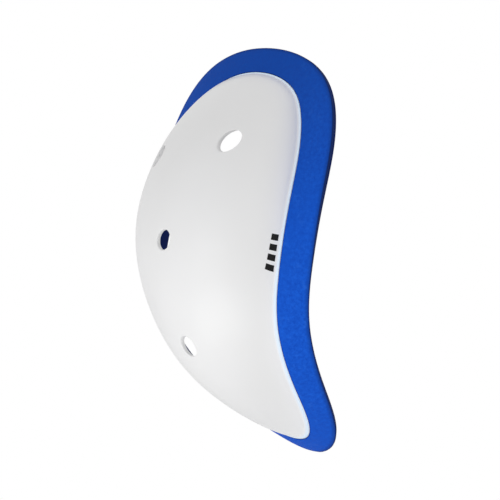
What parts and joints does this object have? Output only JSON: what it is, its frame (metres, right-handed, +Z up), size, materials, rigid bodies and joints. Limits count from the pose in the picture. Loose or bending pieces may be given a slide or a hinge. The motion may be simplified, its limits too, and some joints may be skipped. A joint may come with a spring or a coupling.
{
  "type": "groin protector",
  "caption": "Hard moulded groin cup with round vents and a soft rim that curls back at the sides, worn in a pouch for boxing and martial arts.",
  "frame": {"origin": "Middle of the protector's bounding box, on its mirror plane.", "axes": "+X towards the wearer's left, +Y towards the body, +Z up as worn; the dome bulges towards -Y and the narrow tip is at the bottom."},
  "size_m": [0.1038, 0.0806, 0.1542],
  "materials": {
    "shell_white": "smooth moulded plastic, semi-gloss",
    "rim_blue": "matt soft moulding with a faint mottle",
    "pad_navy": "matt soft closed-cell pad",
    "print_black": "printed ink film"
  },
  "bodies": {
    "root": {"hard_shell": "shell_white", "rim_front_layer": "rim_blue", "rim_back_pad": "pad_navy"}
  },
  "joints": []
}
